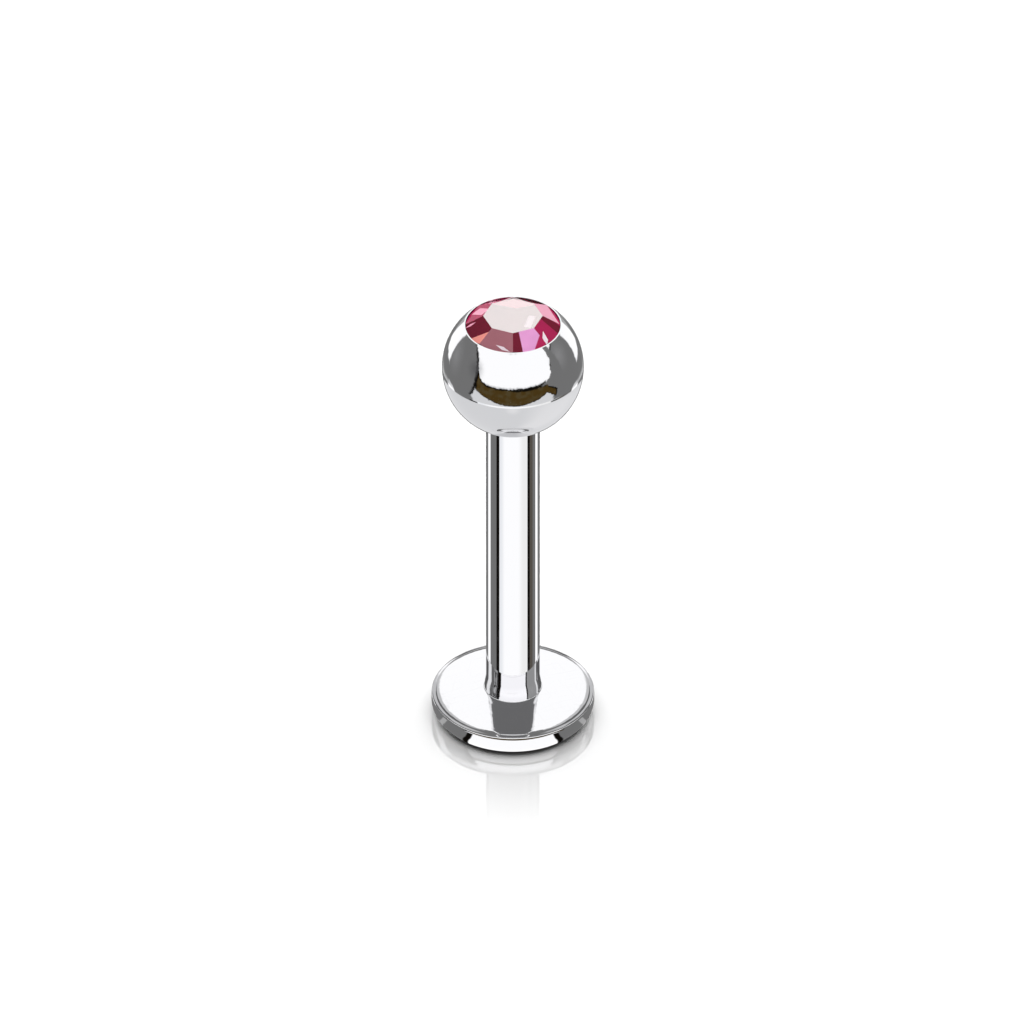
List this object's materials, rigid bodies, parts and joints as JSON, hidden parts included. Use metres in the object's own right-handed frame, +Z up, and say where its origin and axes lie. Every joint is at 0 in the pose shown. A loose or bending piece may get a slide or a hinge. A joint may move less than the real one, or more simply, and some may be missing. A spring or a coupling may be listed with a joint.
{
  "type": "labret stud",
  "caption": "Labret stud for a lip piercing: a round disc back on a straight post, and a threaded ball set with a pink cut stone that screws onto the post.",
  "frame": {"origin": "centre of the underside of the back disc, where the stud stands", "axes": "+Z up the post to the stone; X and Y are alike, with -Y towards the viewer of the picture"},
  "size_m": [0.0048, 0.0048, 0.0144],
  "materials": {
    "post_steel": "surgical steel, mirror polished on the post, fine turned on the disc",
    "ball_steel": "surgical steel, mirror polished",
    "pink_crystal": "clear pink cut glass with a foil back",
    "foil_cement": "pink foil lacquer and clear cement"
  },
  "bodies": {
    "post": {"labret_post": "post_steel"},
    "bed": {"stone_bed": "foil_cement"},
    "ball": {"threaded_ball": "ball_steel", "crystal": "pink_crystal"}
  },
  "joints": [
    {"name": "ball_lift", "type": "slide", "parent": "post", "child": "bed", "axis": [0, 0, 1], "range_m": [0, 0.0021]},
    {"name": "ball_turn", "type": "hinge", "parent": "bed", "child": "ball", "pos_m": [0, 0, 0.0126], "axis": [0, 0, 1], "range_deg": [0, 2160]}
  ],
  "couplings": [
    {"joint": "ball_turn", "follows": "ball_lift", "rad_per_m": 17952}
  ]
}
